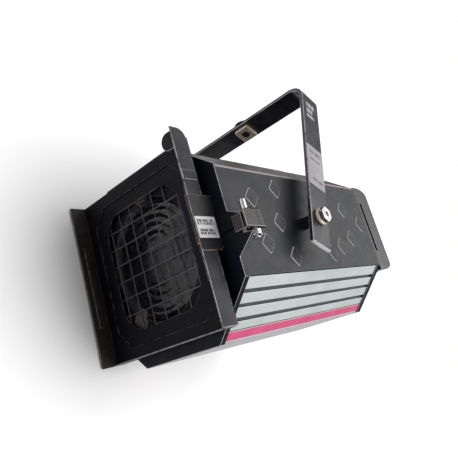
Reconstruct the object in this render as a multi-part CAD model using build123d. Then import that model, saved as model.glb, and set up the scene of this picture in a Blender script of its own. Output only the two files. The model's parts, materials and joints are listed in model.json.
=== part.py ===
from build123d import *
import math
import os

# A compact stage spotlight hung from a yoke. Millimetres, front along -Y, +Z up.
# The origin lies on the flat underside, straight below the yoke's pivot.

# Driving dimensions
frame_width = 160.0  # across the two colour-frame runners
frame_height = 163.6
pivot_height = 92.5  # yoke pivot above the underside
front_reach = 141.0  # from the pivot to the runners' front edges
rear_reach = 142.0  # from the pivot to the rear end plate's outer face
runner_depth = 17.0
sheet = 1.2
plate = 1.5

# Octagonal section of the body
section_half = 93.6
side_low = 45.2
side_high = 144.4
section_top = 181.4
flat_half = 48.4  # half of the flat top and of the flat underside
lap = 1.1  # the panels lie this far inside the end plates' rims
rim = 6.0
rear_rim = 9.0  # the rear end plate's rim along the lower slopes and the underside
door_wall_inset = 6.0  # the door's right wall stands this far inside its face plate

# Along the body
body_front = -115.0
mount_face_y = -front_reach + runner_depth  # front face of the door's frame plate
door_rear = body_front - 0.6
panel_front = body_front + plate + 0.1
panel_rear = rear_reach - plate - 0.1  # rear end of the finned slopes

# Door hinge, on the left
hinge_x = -84.6
hinge_y = -121.2
hinge_pin_radius = 1.5
knuckle_radius = 3.2
running_gap = 0.06

# Latch, on the right
latch_x = 105.6
latch_y = -102.0
latch_pin_radius = 2.8
latch_barrel_radius = 6.4
latch_arm_low = 4.0  # the bracket's arm above the lever, from the pivot's height
latch_arm_top = 5.5
latch_peg = (105.0, -106.6)

# Lens and guard
lens_radius = 59.0
end_plate_hole_radius = 68.0
aperture_half_width = 53.5
aperture_half_height = 57.5
aperture_corner = 26.0
wire_pitch = 16.5
wire_radius = 0.6

# Yoke
strap_width = 28.0
strap_thickness = 4.2
yoke_outer_half = 112.0
yoke_reach = 181.0  # pivot to the crossbar's outer surface
yoke_tail = 32.5  # strap below the pivot
yoke_bend = 21.0
yoke_lean = 24.6  # degrees that the yoke leans back at rest
pivot_bolt_radius = 5.0
hanger_offset = 13.0  # hanging bolt, off the crossbar's middle
hanging_bolt_radius = 5.0
hanging_neck_radius = 4.0
hanging_nut_height = 5.0
hanging_flange_radius = 15.5
hanging_flange_height = 1.6
hanging_stud_height = 13.0  # bolt end above the crossbar
square_nut_half = 10.5

# Focus carriage
lamp_y = -20.0
rod_offset = 32.0
rod_height = 21.5
rod_radius = 3.0
screw_radius = 4.0
bulkhead_y = 95.0

# Cable gland on the rear end plate
gland_x = -46.0
gland_z = 25.0


# ---------- shape helpers ----------
def block(x_low, x_high, y_low, y_high, z_low, z_high):
    centre = ((x_low + x_high) / 2, (y_low + y_high) / 2, (z_low + z_high) / 2)
    return Pos(*centre) * Box(x_high - x_low, y_high - y_low, z_high - z_low)


def rod(start, end, radius):
    line = Vector(*end) - Vector(*start)
    place = Plane(origin=start, z_dir=line)
    return place * Cylinder(radius, line.length, align=(Align.CENTER, Align.CENTER, Align.MIN))


def tube(start, end, outer, inner):
    return rod(start, end, outer) - rod(start, end, inner)


def hex_rod(start, end, across_flats):
    line = Vector(*end) - Vector(*start)
    outline = RegularPolygon(across_flats / 2, 6, major_radius=False)
    return extrude(Plane(origin=start, z_dir=line) * outline, amount=line.length)


def prism_y(points, y_low, y_high):
    outline = make_face(Polyline(*[(x, y_low, z) for x, z in points], close=True))
    return extrude(outline, amount=y_high - y_low, dir=(0, 1, 0))


def prism_x(points, x_low, x_high):
    outline = make_face(Polyline(*[(x_low, y, z) for y, z in points], close=True))
    return extrude(outline, amount=x_high - x_low, dir=(1, 0, 0))


def front_plane(y):
    """Sketch plane that faces the rear: local x is row X and local y is row Z."""
    return Plane(origin=(0, y, 0), x_dir=(1, 0, 0), z_dir=(0, -1, 0))


def along_y(sketch, y_low, y_high):
    """Sketch drawn in X and Z, made solid between two stations along Y."""
    return extrude(front_plane(y_high) * sketch, amount=y_high - y_low)


def turn_profile_y(points, y_from):
    """Profile of (radius, distance back from y_from), turned about the lamp axis."""
    outline = make_face(
        Polyline(*[(radius, y_from + back, pivot_height) for radius, back in points], close=True)
    )
    axis = Axis((0, y_from, pivot_height), (0, 1, 0))
    return revolve(outline, axis)


def mirror_x(shape):
    return mirror(shape, about=Plane.YZ)


def pair(shape):
    return [shape, mirror_x(shape)]


def save(node, *shapes):
    solids = [solid for shape in shapes for solid in shape.solids()]
    whole = solids[0] if len(solids) == 1 else Compound(solids)
    export_step(whole, f"parts/{node}.step")


# ---------- body section ----------
def section(inset=0.0):
    """The body's octagon in X and Z, drawn smaller by inset all round."""
    corners = [
        (flat_half, 0),
        (section_half, side_low),
        (section_half, side_high),
        (flat_half, section_top),
    ]
    corners += [(-x, z) for x, z in reversed(corners)]
    outline = make_face(Polyline(*corners, close=True))
    if inset:
        outline = offset(outline, amount=-inset, kind=Kind.INTERSECTION)
    return outline


def section_shell(inset, thickness, y_low, y_high):
    ring = section(inset) - section(inset + thickness)
    return along_y(ring, y_low, y_high)


def octagon_opening(half_width, half_height, corner):
    points = [
        (half_width - corner, -half_height),
        (half_width, corner - half_height),
        (half_width, half_height - corner),
        (half_width - corner, half_height),
    ]
    points += [(-x, z) for x, z in reversed(points)]
    return make_face(Polyline(*[(x, z + pivot_height) for x, z in points], close=True))


def at_pivot_height(sketch):
    return Pos(0, pivot_height) * sketch


# ---------- end plates ----------
def lower_part():
    """Window over the finned slopes and the underside; the side sheets start above it."""
    return Pos(0, side_low / 2) * Rectangle(200, side_low)


def upper_part():
    return Pos(0, side_low + 100) * Rectangle(200, 200)


def plate_rims():
    """An end plate's rim: outside the finned slopes, and inside the side and top sheets."""
    inner = lap + sheet
    low_rim = (section() - section(1.0)) & lower_part()
    high_rim = (section(inner) - section(inner + 1.0)) & upper_part()
    return low_rim, high_rim


def front_end_plate():
    face = section() - at_pivot_height(Circle(end_plate_hole_radius))
    body = along_y(face, body_front, body_front + plate)
    low_rim, high_rim = plate_rims()
    body += along_y(low_rim, body_front + plate, body_front + rim)
    body += along_y(high_rim, body_front + plate, body_front + rim)
    ear = [(section_half - 1, 9), (104, 3), (104, -14.2), (113.4, -16), (section_half - 1, -32)]
    ear = [(x, z + pivot_height) for x, z in ear]
    return body + prism_y(ear, body_front, body_front + plate)


def rear_end_plate():
    """Inside the side and top sheets above, and outside the finned slopes below."""
    face = (section() & lower_part()) + (section(lap + sheet) & upper_part())
    face -= Pos(0, rod_height) * Circle(screw_radius + running_gap)
    face -= Pos(gland_x, gland_z) * Circle(6.0)
    body = along_y(face, rear_reach - plate, rear_reach)
    low_rim, high_rim = plate_rims()
    body += along_y(low_rim, rear_reach - rear_rim, rear_reach - plate)
    return body + along_y(high_rim, rear_reach - rim, rear_reach - plate)


# ---------- panels ----------
diamond_places = [
    (-74.0, 116.3),
    (-32.8, 127.9),
    (-41.2, 93.6),
    (-69.5, 73.0),
    (-31.7, 60.0),
    (36.0, 127.0),
    (40.0, 62.0),
    (92.3, 112.5),
    (124.9, 96.2),
    (91.5, 78.4),
    (63.6, 69.1),
]
diamond_half_length = 10.0
diamond_half_height = 10.5
diamond_rise = 0.7


def diamond_outline(y, z):
    reach, rise = diamond_half_length, diamond_half_height
    return [(y - reach, z), (y, z - rise), (y + reach, z), (y, z + rise)]


def side_plate():
    """Right side sheet: the upright side and the slope above it, folded in one piece."""
    sheet_ring = section_shell(lap, sheet, panel_front, rear_reach)
    keep = block(flat_half + 0.4, 100, -200, 200, side_low + 0.6, 200)
    body = sheet_ring & keep
    face_x = section_half - lap
    for y, z in diamond_places:
        body += prism_x(diamond_outline(y, z), face_x - 0.1, face_x + diamond_rise)
    bolt_hole = rod((80, 0, pivot_height), (100, 0, pivot_height), pivot_bolt_radius + 0.02)
    return body - bolt_hole


def top_cover():
    """Flat top sheet with two rows of vent slots."""
    ring = section_shell(lap, sheet, panel_front, rear_reach)
    body = ring & block(-flat_half + 0.1, flat_half - 0.1, -200, 200, section_top - 4, 200)
    for row in (-20, 20):
        for step in range(8):
            y = -70 + 20 * step
            body -= block(row - 14, row + 14, y - 2.5, y + 2.5, section_top - 5, section_top + 5)
    return body


def vent_hood():
    """Raised lid that keeps light in above the vent slots."""
    z_base = section_top - lap
    lid = block(-40, 40, -84, 84, z_base + 5.0, z_base + 6.0)
    walls = block(-40, -39, -84, 84, z_base, z_base + 5.0) + block(39, 40, -84, 84, z_base, z_base + 5.0)
    return lid + walls


fin_bands = [(0.0, 12.4), (16.2, 26.0), (29.6, 39.6), (43.4, 51.6)]
stripe_band = (53.2, 61.8)
fin_back = 3.4
groove_depth = 2.2


def fin_extrusion():
    """Right lower slope: finned aluminium section with a channel for the coloured stripe."""
    top_corner = Vector(section_half - lap, 0, side_low + 0.4)
    down = Vector(-1, 0, -1).normalized()
    out = Vector(1, 0, -1).normalized()
    length = (section_half - flat_half) * math.sqrt(2) - 1.2
    profile = [(0, -fin_back), (0, 0)]
    for start, end in fin_bands:
        if start:
            profile += [(start, -groove_depth), (start, 0)]
        profile += [(end, 0.0), (end, -groove_depth)]
    profile += [(stripe_band[0] - 0.6, -groove_depth), (stripe_band[0] - 0.6, 0), (stripe_band[0], 0)]
    profile += [(stripe_band[0], -0.8), (stripe_band[1], -0.8), (stripe_band[1], 0), (length, 0)]
    profile += [(length - fin_back, -fin_back)]
    corners = [top_corner + down * along + out * height for along, height in profile]
    body = prism_y([(corner.X, corner.Z) for corner in corners], panel_front, panel_rear)
    return body & block(0, 100, -200, 200, -5, side_low - 0.2)


def stripe():
    top_corner = Vector(section_half - lap, 0, side_low + 0.4)
    down = Vector(-1, 0, -1).normalized()
    out = Vector(1, 0, -1).normalized()
    edges = [(stripe_band[0] + 0.1, -0.8), (stripe_band[0] + 0.1, -0.1)]
    edges += [(stripe_band[1] - 0.1, -0.1), (stripe_band[1] - 0.1, -0.8)]
    corners = [top_corner + down * along + out * height for along, height in edges]
    return prism_y([(corner.X, corner.Z) for corner in corners], panel_front, panel_rear)


def base_panel():
    return block(-flat_half + 1, flat_half - 1, body_front + rim + 0.1, rear_reach - rear_rim - 0.1, 0, 1.8)


cap_depth = 46.0
cap_low = 39.5
cap_high = 145.6
cap_corner = 18.0  # upright corners
cap_shoulder = 36.0  # curve from the back to the top
cap_heel = 30.0  # curve from the back to the underside
cap_slot = (pivot_height - 29.0, pivot_height + 31.5)


def cap_solid(inset):
    """Rounded block behind the rear end plate, with a full curve at its top and its heel."""
    half = section_half - lap - inset
    depth = cap_depth - inset
    corner = cap_corner - inset
    plan = Pos(0, rear_reach + depth / 2 - 20) * RectangleRounded(2 * half, depth + 40, corner)
    low, high, rear = cap_low + inset, cap_high - inset, rear_reach + depth
    body = extrude(Plane.XY.offset(low) * plan, amount=high - low)
    shoulder, heel = cap_shoulder - inset, cap_heel - inset
    bulge = 1 - math.sqrt(0.5)
    top_curve = ThreePointArc(
        (0, rear, high - shoulder),
        (0, rear - shoulder * bulge, high - shoulder * bulge),
        (0, rear - shoulder, high),
    )
    low_curve = ThreePointArc(
        (0, rear - heel, low), (0, rear - heel * bulge, low + heel * bulge), (0, rear, low + heel)
    )
    back = Line((0, rear, low + heel), (0, rear, high - shoulder))
    rest = Polyline((0, rear - shoulder, high), (0, 0, high), (0, 0, low), (0, rear - heel, low))
    side = Pos(-100, 0, 0) * make_face(low_curve + back + top_curve + rest)
    body &= extrude(side, amount=200, dir=(1, 0, 0))
    return body - block(-200, 200, 0, rear_reach, 0, 300)


def rear_cap():
    body = cap_solid(0) - cap_solid(plate)
    for side in (-1, 1):
        x = side * (section_half - lap)
        body -= block(x - 4, x + 4, rear_reach + 5, rear_reach + 9, *cap_slot)
    return body


# ---------- fasteners ----------
def pan_head(start, end, radius):
    head = rod(start, end, radius)
    return chamfer(head.edges().sort_by_distance(end)[0], 0.6)


def end_screws():
    heads = []
    for x, z in [(62, 28), (60, 160), (22, 170)]:
        for side in (-1, 1):
            start = (side * x, rear_reach, z)
            heads.append(pan_head(start, (side * x, rear_reach + 2.4, z), 3.5))
    for x, z in [(66, 148), (64, 34)]:
        for side in (-1, 1):
            start = (side * x, body_front, z)
            heads.append(pan_head(start, (side * x, body_front - 1.8, z), 3.5))
    return heads


def cap_screws():
    rear = rear_reach + cap_depth
    places = [(side * 60, z) for side in (-1, 1) for z in (cap_low + 30, cap_high - 42)]
    return [pan_head((x, rear, z), (x, rear + 2.2, z), 3.2) for x, z in places]


# ---------- inside the body ----------
def guide_rods():
    rods = []
    for x in (-rod_offset, rod_offset):
        start = (x, -108, rod_height)
        rods.append(rod(start, (x, rear_reach - plate, rod_height), rod_radius))
    return rods


def rod_rest():
    """Cross bar on the floor that carries the rods' and the screw's front ends."""
    bar = block(-40, 40, -108.8, -100, 1.8, rod_height + 7)
    for x in (-rod_offset, rod_offset):
        bar -= rod((x, -108, rod_height), (x, -99, rod_height), rod_radius)
    return bar - rod((0, -110, rod_height), (0, -98, rod_height), 3.06)


def bulkhead():
    """Heat shield between the lamp space and the wiring space."""
    face = section(4.8) & Pos(0, 120) * Rectangle(200, 172)
    body = along_y(face, bulkhead_y, bulkhead_y + sheet)
    slots = [block(x - 3, x + 3, bulkhead_y - 5, bulkhead_y + 5, 120, 150) for x in (-40, -20, 20, 40)]
    for slot in slots:
        body -= slot
    return body


def heat_baffle():
    """Roof sheet under the vents that stops direct light."""
    return block(-42, 42, body_front + plate, bulkhead_y, section_top - 12, section_top - 11)


def terminal_block():
    body = block(-20, 20, rear_reach - plate - 18, rear_reach - plate, 60, 78)
    for step in (-1, 0, 1):
        body -= rod((12 * step, rear_reach - 30, 69), (12 * step, rear_reach - 10, 69), 2.4)
    return body


def cable_gland():
    mouth = (gland_x, rear_reach + 14, gland_z)
    collar = (gland_x, rear_reach + 6, gland_z)
    seat = (gland_x, rear_reach, gland_z)
    inner_end = (gland_x, rear_reach - 8, gland_z)
    dome = rod(collar, mouth, 9)
    dome = chamfer(dome.edges().sort_by_distance(mouth)[0], 2.0)
    body = hex_rod(seat, collar, 20) + dome + rod(inner_end, seat, 6.0)
    return body - rod(inner_end, mouth, 4.0)


def gland_locknut():
    start = (gland_x, rear_reach - plate - 4, gland_z)
    end = (gland_x, rear_reach - plate, gland_z)
    return hex_rod(start, end, 18) - rod(start, end, 6.0)


def earth_stud():
    y = rear_reach
    stud = rod((48, y, 25), (48, y + 9, 25), 2.0)
    return stud + hex_rod((48, y, 25), (48, y + 3, 25), 7)


# ---------- pivot ----------
def pivot_stiffeners():
    inner = section_half - lap - sheet
    body = block(inner - 4, inner, -22, 22, pivot_height - 22, pivot_height + 22)
    return pair(body - rod((80, 0, pivot_height), (100, 0, pivot_height), pivot_bolt_radius))


def pivot_bushes():
    start = (section_half - lap, 0, pivot_height)
    return pair(tube(start, (106.2, 0, pivot_height), 6.2, pivot_bolt_radius))


def pivot_bolts():
    head_end = section_half - lap - sheet - 4
    bolt = rod((head_end, 0, pivot_height), (120.4, 0, pivot_height), pivot_bolt_radius)
    bolt += hex_rod((head_end - 6.4, 0, pivot_height), (head_end, 0, pivot_height), 16)
    socket = hex_rod((118.4, 0, pivot_height), (121, 0, pivot_height), 5)
    return pair(bolt - socket)


def pivot_flange_washers():
    start = (yoke_outer_half + 0.35, 0, pivot_height)
    washer = rod(start, (yoke_outer_half + 3.6, 0, pivot_height), 9.0)
    far_edge = washer.edges().sort_by(Axis.X)[-1]
    washer = chamfer(far_edge, 1.6)
    return pair(washer - rod(start, (yoke_outer_half + 4, 0, pivot_height), pivot_bolt_radius))


def pivot_nuts():
    start = (yoke_outer_half + 3.6, 0, pivot_height)
    nut = hex_rod(start, (yoke_outer_half + 8.0, 0, pivot_height), 14)
    nut &= rod(start, (yoke_outer_half + 8.0, 0, pivot_height), 7.7)
    return pair(nut - rod(start, (yoke_outer_half + 9, 0, pivot_height), pivot_bolt_radius))


# ---------- door ----------
def knuckle(z_low, z_high, bore):
    start = (hinge_x, hinge_y, pivot_height + z_low)
    end = (hinge_x, hinge_y, pivot_height + z_high)
    return tube(start, end, knuckle_radius, bore)


def body_hinge_leaf():
    spans = [(-40, -14), (14, 40)]
    leaf = block(-93, hinge_x, body_front - 1, body_front, pivot_height - 40, pivot_height + 40)
    for low, high in spans:
        arm = block(hinge_x - 1, hinge_x + 1, hinge_y, body_front, pivot_height + low, pivot_height + high)
        arm -= rod((hinge_x, hinge_y, 0), (hinge_x, hinge_y, 200), hinge_pin_radius)
        leaf += arm + knuckle(low, high, hinge_pin_radius)
    return leaf


def hinge_pin():
    low = (hinge_x, hinge_y, pivot_height - 42)
    return rod(low, (hinge_x, hinge_y, pivot_height + 42), hinge_pin_radius)


def door_hinge_leaf():
    wall_x = -frame_width / 2
    leaf = block(wall_x - 1, wall_x, mount_face_y + 0.4, door_rear - 0.2, pivot_height - 13.5, pivot_height + 13.5)
    arm = block(hinge_x, wall_x, hinge_y - 1, hinge_y + 1, pivot_height - 13.5, pivot_height + 13.5)
    bore = hinge_pin_radius + running_gap
    arm -= rod((hinge_x, hinge_y, 0), (hinge_x, hinge_y, 200), bore)
    return leaf + arm + knuckle(-13.5, 13.5, bore)


def pan_sketch(inset):
    """Outline of the door's pan, drawn smaller by inset; its right wall is set in."""
    half, tall = frame_width / 2 - inset, frame_height - 2 * inset
    right = half - door_wall_inset
    return Pos((right - half) / 2, pivot_height) * Rectangle(right + half, tall)


def front_frame():
    """Shallow pan: face plate with an eight-sided opening, and a wall all round behind it."""
    outer = at_pivot_height(Rectangle(frame_width, frame_height))
    face = outer - octagon_opening(66.7, 70.4, 16.8)
    body = along_y(face, mount_face_y, mount_face_y + sheet)
    body += along_y(pan_sketch(0) - pan_sketch(sheet), mount_face_y + sheet, door_rear)
    low = pivot_height - frame_height / 2
    half = frame_width / 2 - sheet
    return body + block(-half, half, mount_face_y - 3.4, mount_face_y, low, low + 1)


def runner(top, rounded):
    """Right runner strip that guides the edge of a colour frame."""
    low = pivot_height - frame_height / 2
    strip = block(
        frame_width / 2 - sheet, frame_width / 2, -front_reach, mount_face_y, low, pivot_height + top
    )
    if rounded:
        corner = [
            edge
            for edge in strip.edges().filter_by(Axis.X)
            if edge.center().Y > mount_face_y - 1 and edge.center().Z > pivot_height
        ]
        strip = fillet(corner, 9)
    return strip


def runner_divider():
    """Folded rib that parts the runner into a front and a rear slot."""
    inner = frame_width / 2 - sheet
    low, high = pivot_height - 44, pivot_height + 37
    rib = block(inner - 4.2, inner, -137.6, -136.6, low, high)
    rib += block(inner - 4.2, inner - 3.2, -137.6, -133.2, low, high)
    return rib + block(inner - 4.2, inner, -134.2, -133.2, low, high)


def aperture_plate():
    hole = at_pivot_height(
        RectangleRounded(2 * aperture_half_width, 2 * aperture_half_height, aperture_corner)
    )
    return along_y(pan_sketch(sheet) - hole, mount_face_y + sheet, mount_face_y + 2 * sheet)


def wire_guard():
    """Welded mesh of round wires, the uprights behind the cross wires."""
    cross_y = mount_face_y + 2 * sheet + wire_radius
    upright_y = cross_y + 1.8 * wire_radius
    half_width, half_height = 56.5, 61.0
    wires = []
    for step in range(-3, 4):
        x = step * wire_pitch
        start = (x, upright_y, pivot_height - half_height)
        wires.append(rod(start, (x, upright_y, pivot_height + half_height), wire_radius))
    for step in range(8):
        z = pivot_height + (step - 3.5) * wire_pitch
        start = (-half_width, cross_y, z)
        wires.append(rod(start, (half_width, cross_y, z), wire_radius))
    mesh = wires[0]
    for wire in wires[1:]:
        mesh += wire
    return mesh


lens_plate_y = mount_face_y + 5.6
lens_back_y = lens_plate_y + 13.0


def lens_plate():
    face = pan_sketch(sheet) - at_pivot_height(Circle(lens_radius - 2))
    return along_y(face, lens_plate_y, lens_plate_y + 1)


def lens():
    """Stepped lens: flat at the back, five sloping steps and a domed middle in front."""
    front = lens_plate_y + 1
    depth = lens_back_y - front
    steps = 5
    middle = 19.0
    band = (lens_radius - 3 - middle) / steps
    profile = [(0, 0.0), (10, 0.7), (middle, 2.6)]
    for step in range(steps):
        inner = middle + band * step
        profile += [(inner + 0.5, 0.6), (inner + band, 4.4)]
    profile += [(lens_radius, 4.4), (lens_radius, depth), (0, depth)]
    return turn_profile_y(profile, front)


def lens_ring():
    ring = [(lens_radius + 0.3, 0), (64.0, 0), (64.0, 14.0), (52.0, 14.0), (52.0, 12.4), (lens_radius + 0.3, 12.4)]
    return turn_profile_y(ring, lens_plate_y + 1)


def lens_clip(angle, tongue_end):
    """Bent spring clip on the lens plate, its tongue over the lens rim."""
    y = lens_plate_y
    foot = block(-9, 9, y - 0.8, y, 57, 68)
    tongue = block(-6, 6, y - 0.8, y, tongue_end, 57)
    return Pos(0, 0, pivot_height) * Rot(0, angle, 0) * (foot + tongue)


def lens_clips():
    """One long clip in the lower left corner, and three short ones behind the aperture's edges."""
    return [lens_clip(216, 49)] + [lens_clip(angle, 55) for angle in (0, 90, 270)]


def latch_plate():
    """Spring plate hooked over the right runner, with a strike tab for the latch."""
    x = frame_width / 2
    low, high = pivot_height - 20.8, pivot_height + 27.2
    cover = block(x, x + 0.9, -front_reach - 1.3, body_front - 0.6, low, high)
    bottom = [edge for edge in cover.edges().filter_by(Axis.X) if edge.center().Z < pivot_height]
    cover = fillet(bottom, 4)
    hook = block(x - sheet - 1.0, x, -front_reach - 1.3, -front_reach, low + 6, high)
    tab = block(x + 0.9, 98.1, body_front - 2.4, body_front - 1.2, pivot_height - 8, pivot_height - 1)
    return cover + hook + tab


def latch_label():
    x = frame_width / 2 + 0.9
    return block(x, x + 0.25, -front_reach, body_front - 2.5, pivot_height - 10.4, pivot_height + 8)


def runner_band():
    x = frame_width / 2
    return block(x, x + 0.8, -front_reach, mount_face_y - 1, pivot_height + 40.8, pivot_height + 49.6)


catch_z = pivot_height + 80.5
catch_y = -131.0


def catch_rivet():
    x = frame_width / 2 - sheet
    shank = rod((x - 2.2, catch_y, catch_z), (x, catch_y, catch_z), 2.0)
    return shank + rod((x - 3.4, catch_y, catch_z), (x - 2.2, catch_y, catch_z), 3.4)


def frame_catch():
    """Retaining catch over the mouth of the colour-frame slots."""
    x = frame_width / 2 - sheet
    centre, radius = 70.0, 8.0
    front, back = catch_y - 5.6, catch_y - 4.4
    cheek = block(x - 1.9, x - 0.4, front, catch_y + 3.6, catch_z - 5, catch_z + 5)
    finger = block(centre, x - 0.4, front, back, catch_z - radius, catch_z + radius)
    finger += rod((centre, front, catch_z), (centre, back, catch_z), radius)
    bore = rod((60, catch_y, catch_z), (80, catch_y, catch_z), 2.0 + running_gap)
    return (cheek - bore) + finger


# ---------- latch ----------
def latch_bracket():
    """Foot on the side sheet, and one arm above the lever that holds the pin and a stop peg."""
    face_x = section_half - lap
    z = pivot_height
    foot = block(face_x, face_x + 1.2, -107.4, -96, z - 18, z + latch_arm_top)
    arm = block(face_x, latch_x, -107, -97, z + latch_arm_low, z + latch_arm_top)
    arm += rod((latch_x, latch_y, z + latch_arm_low), (latch_x, latch_y, z + latch_arm_top), 5)
    arm += rod((*latch_peg, z + latch_arm_low), (*latch_peg, z + latch_arm_top), 4.2)
    hole = rod((latch_x, latch_y, 0), (latch_x, latch_y, 200), latch_pin_radius)
    return foot + arm - hole


def latch_pin():
    """Pivot pin with a small collar under the spring, and a plain stop peg on the arm."""
    z = pivot_height
    pin = rod((latch_x, latch_y, z - 20), (latch_x, latch_y, z + latch_arm_top), latch_pin_radius)
    pin += rod((latch_x, latch_y, z - 20), (latch_x, latch_y, z - 19), latch_pin_radius + 1)
    peg = rod((*latch_peg, z + latch_arm_top), (*latch_peg, z + 14.5), latch_pin_radius)
    return pin, chamfer(peg.edges().filter_by(GeomType.CIRCLE).sort_by(Axis.Z)[-1], 0.7)


def latch_lever():
    """Press lever: nose in front of the ear, ribbed cheek, and a curved cover round the pin."""
    z_low, z_high = pivot_height - 11.6, pivot_height + 3.0
    nose_low, nose_high = pivot_height - 12.6, pivot_height + 1.0
    barrel = rod((latch_x, latch_y, z_low), (latch_x, latch_y, z_high), latch_barrel_radius)
    arm = block(latch_x + 1.0, latch_x + 6.2, -118.4, latch_y, z_low, z_high)
    arm -= block(latch_x + 2.6, latch_x + 4.6, -119, -112, z_low - 1, z_high + 1)
    nose = block(98.5, latch_x + 2.6, -118.4, -116.4, nose_low, nose_high)
    thumb = block(latch_x + 0.6, latch_x + 6.2, latch_y, latch_y + 12, z_low, z_high)
    body = barrel + arm + nose + thumb
    far = [
        edge
        for edge in body.edges().filter_by(Axis.Z)
        if edge.center().Y > latch_y + 11 and edge.center().X > latch_x + 6
    ]
    body = fillet(far, 4.5)
    bore = rod((latch_x, latch_y, 0), (latch_x, latch_y, 200), latch_pin_radius + running_gap)
    return body - bore


def latch_spring():
    """Closed coils of the lever's return spring, around the pin."""
    coils = None
    for step in range(4):
        z = pivot_height - 18.0 + 1.7 * step
        ring = Pos(latch_x, latch_y, z) * Torus(4.7, 0.95)
        coils = ring if coils is None else coils + ring
    return coils


# ---------- lamp carriage ----------
def lamp_tray():
    body = block(-44, 44, lamp_y - 35, lamp_y + 45, 27, 28.5)
    for x in (-rod_offset, rod_offset):
        for y in (lamp_y - 26, lamp_y + 34):
            shoe = block(x - 7, x + 7, y - 8, y + 8, rod_height - 6, 27)
            body += shoe - rod((x, y - 9, rod_height), (x, y + 9, rod_height), rod_radius + running_gap)
    return body


def carriage_nut():
    y = lamp_y + 5
    nut = block(-9, 9, y - 10, y + 10, rod_height - 8, 27)
    return nut - rod((0, y - 11, rod_height), (0, y + 11, rod_height), screw_radius + running_gap)


def reflector():
    """Spherical mirror behind the lamp, centred on its filament."""
    centre = (0, lamp_y, pivot_height)
    dish = Pos(*centre) * Sphere(48) - Pos(*centre) * Sphere(46.8)
    return dish & block(-60, 60, lamp_y + 31, lamp_y + 60, 20, 160)


def reflector_stay():
    y = lamp_y + 48.2
    stay = block(-10, 10, y, y + 1.5, 28.5, pivot_height + 10)
    return stay + block(-10, 10, y - 12, y, 28.5, 30)


def lampholder():
    body = block(-15, 15, lamp_y - 11, lamp_y + 11, 28.5, 46)
    for x in (-4.75, 4.75):
        body -= rod((x, lamp_y, 35), (x, lamp_y, 46), 1.65)
    return body


def lamp_base():
    body = block(-12, 12, lamp_y - 4.5, lamp_y + 4.5, 46, 57)
    for x in (-4.75, 4.75):
        body += rod((x, lamp_y, 36), (x, lamp_y, 46), 1.6)
    return body


def lamp_envelope():
    outline = [(0, 57), (9.2, 57), (9.2, 106), (7.2, 112), (3.0, 115), (0, 115.4)]
    inside = [(0, 58), (8.2, 58), (8.2, 105.6), (6.4, 110.8), (2.7, 113.8), (0, 114.2)]
    shells = []
    for points in (outline, inside):
        face = make_face(Polyline(*[(radius, 0, z) for radius, z in points], close=True))
        shells.append(Pos(0, lamp_y, 0) * revolve(face, Axis.Z))
    return shells[0] - shells[1]


def lamp_filament():
    coils = []
    for step in range(-3, 4):
        x = 1.6 * step
        coils.append(rod((x, lamp_y, pivot_height - 6), (x, lamp_y, pivot_height + 6), 0.5))
    return coils


# ---------- focus screw ----------
def lead_screw():
    long_part = rod((0, -99.6, rod_height), (0, rear_reach + 6, rod_height), screw_radius)
    return long_part + rod((0, -108, rod_height), (0, -99.6, rod_height), 3.0)


def focus_knob():
    y = rear_reach + 6
    knob = rod((0, y, rod_height), (0, y + 16, rod_height), 14)
    for step in range(12):
        angle = math.radians(30 * step)
        x, z = 15 * math.cos(angle), rod_height + 15 * math.sin(angle)
        knob -= rod((x, y - 1, z), (x, y + 17, z), 2.2)
    hub = rod((0, y - 4.5, rod_height), (0, y, rod_height), 9)
    hub -= rod((0, y - 5, rod_height), (0, y, rod_height), screw_radius)
    return knob + hub


# ---------- yoke ----------
def leaned(shape):
    """Turns a yoke piece from upright to its rest lean about the pivot."""
    return shape.rotate(Axis((0, 0, pivot_height), (1, 0, 0)), -yoke_lean)


def strap_outline(half, top, radius):
    """Half-round cornered arch in X and Z, open at the bottom."""
    tall = top + yoke_tail
    shape = Pos(0, pivot_height - yoke_tail + tall / 2) * Rectangle(2 * half, tall)
    corners = [vertex for vertex in shape.vertices() if vertex.Y > pivot_height]
    return fillet(corners, radius)


def yoke_strap():
    outer = strap_outline(yoke_outer_half, yoke_reach, yoke_bend)
    inner = strap_outline(
        yoke_outer_half - strap_thickness, yoke_reach - strap_thickness, yoke_bend - strap_thickness
    )
    body = along_y(outer - inner, -strap_width / 2, strap_width / 2)
    pivot_hole = pivot_bolt_radius + 0.08
    body -= rod((-130, 0, pivot_height), (130, 0, pivot_height), pivot_hole)
    top = pivot_height + yoke_reach
    body -= rod((hanger_offset, 0, top - 10), (hanger_offset, 0, top + 5), hanging_bolt_radius)
    return leaned(body)


def friction_washers():
    start = (106.6, 0, pivot_height)
    end = (yoke_outer_half - strap_thickness, 0, pivot_height)
    return pair(tube(start, end, 7.5, pivot_bolt_radius + 0.08))


def hanging_bolt():
    """M10 stud through the crossbar, with a turned neck above the thin nut."""
    top = pivot_height + yoke_reach
    low = top - strap_thickness - 5.4
    neck_low, neck_high = top + hanging_nut_height, top + hanging_nut_height + 1.0
    high = top + hanging_stud_height
    bolt = rod((hanger_offset, 0, low), (hanger_offset, 0, neck_low), hanging_bolt_radius)
    bolt += rod((hanger_offset, 0, neck_high), (hanger_offset, 0, high), hanging_bolt_radius)
    ends = bolt.edges().filter_by(GeomType.CIRCLE).sort_by(Axis.Z)
    bolt = chamfer([ends[0], ends[-1]], 0.8)
    bolt += rod((hanger_offset, 0, neck_low - 0.5), (hanger_offset, 0, neck_high + 0.5), hanging_neck_radius)
    return leaned(bolt)


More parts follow.
